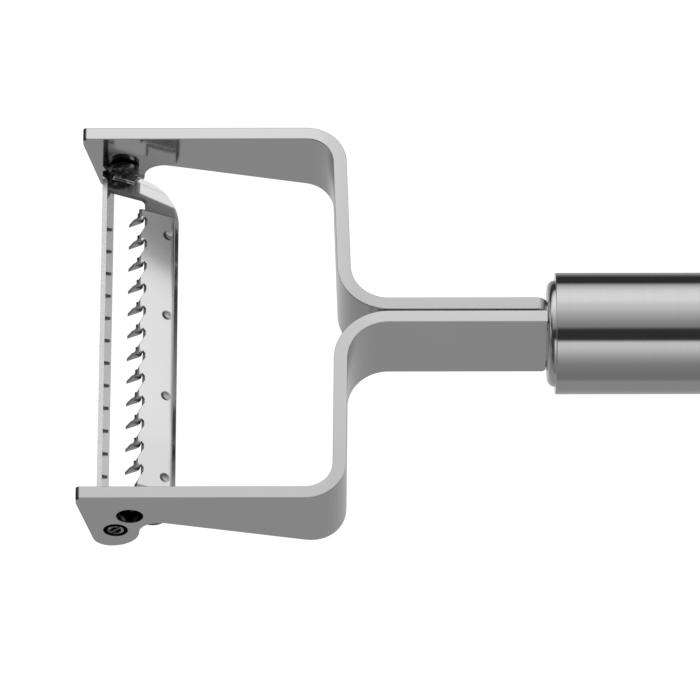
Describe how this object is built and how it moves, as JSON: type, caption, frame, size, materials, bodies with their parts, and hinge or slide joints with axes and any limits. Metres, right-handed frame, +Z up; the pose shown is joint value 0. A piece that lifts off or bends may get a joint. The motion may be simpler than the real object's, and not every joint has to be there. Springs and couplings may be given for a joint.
{
  "type": "julienne peeler",
  "caption": "Julienne peeler: a swivelling toothed blade between two bent flat steel arms, on a round brushed tube handle with a wire loop to hang it by.",
  "frame": {"origin": "on the handle's axis at mid length of the whole tool, which is the centre of its bounding box", "axes": "+X along the handle from the arm tips to the hanging loop, +Y along the blade, +Z up, square to the plane of the head"},
  "size_m": [0.1902, 0.0632, 0.0181],
  "materials": {
    "bar_steel": "satin polished stainless flat bar",
    "plug_steel": "turned and polished stainless",
    "tube_steel": "stainless tube brushed around its girth",
    "cap_steel": "turned and polished stainless",
    "wire_steel": "drawn stainless wire, polished",
    "carrier_steel": "stamped stainless sheet, close to a mirror",
    "blade_steel": "ground and polished stainless blade"
  },
  "bodies": {
    "frame": {"far_arm": "bar_steel", "near_arm": "bar_steel", "front_plug": "plug_steel", "handle_tube": "tube_steel", "end_cap": "cap_steel", "hanging_loop": "wire_steel"},
    "blade": {"blade_carrier": "carrier_steel", "toothed_blade": "blade_steel"}
  },
  "joints": [
    {"name": "blade_swivel", "type": "hinge", "parent": "frame", "child": "blade", "pos_m": [-0.08958, 0, -0.00265], "axis": [0, 1, 0], "range_deg": [-15, 15]}
  ]
}
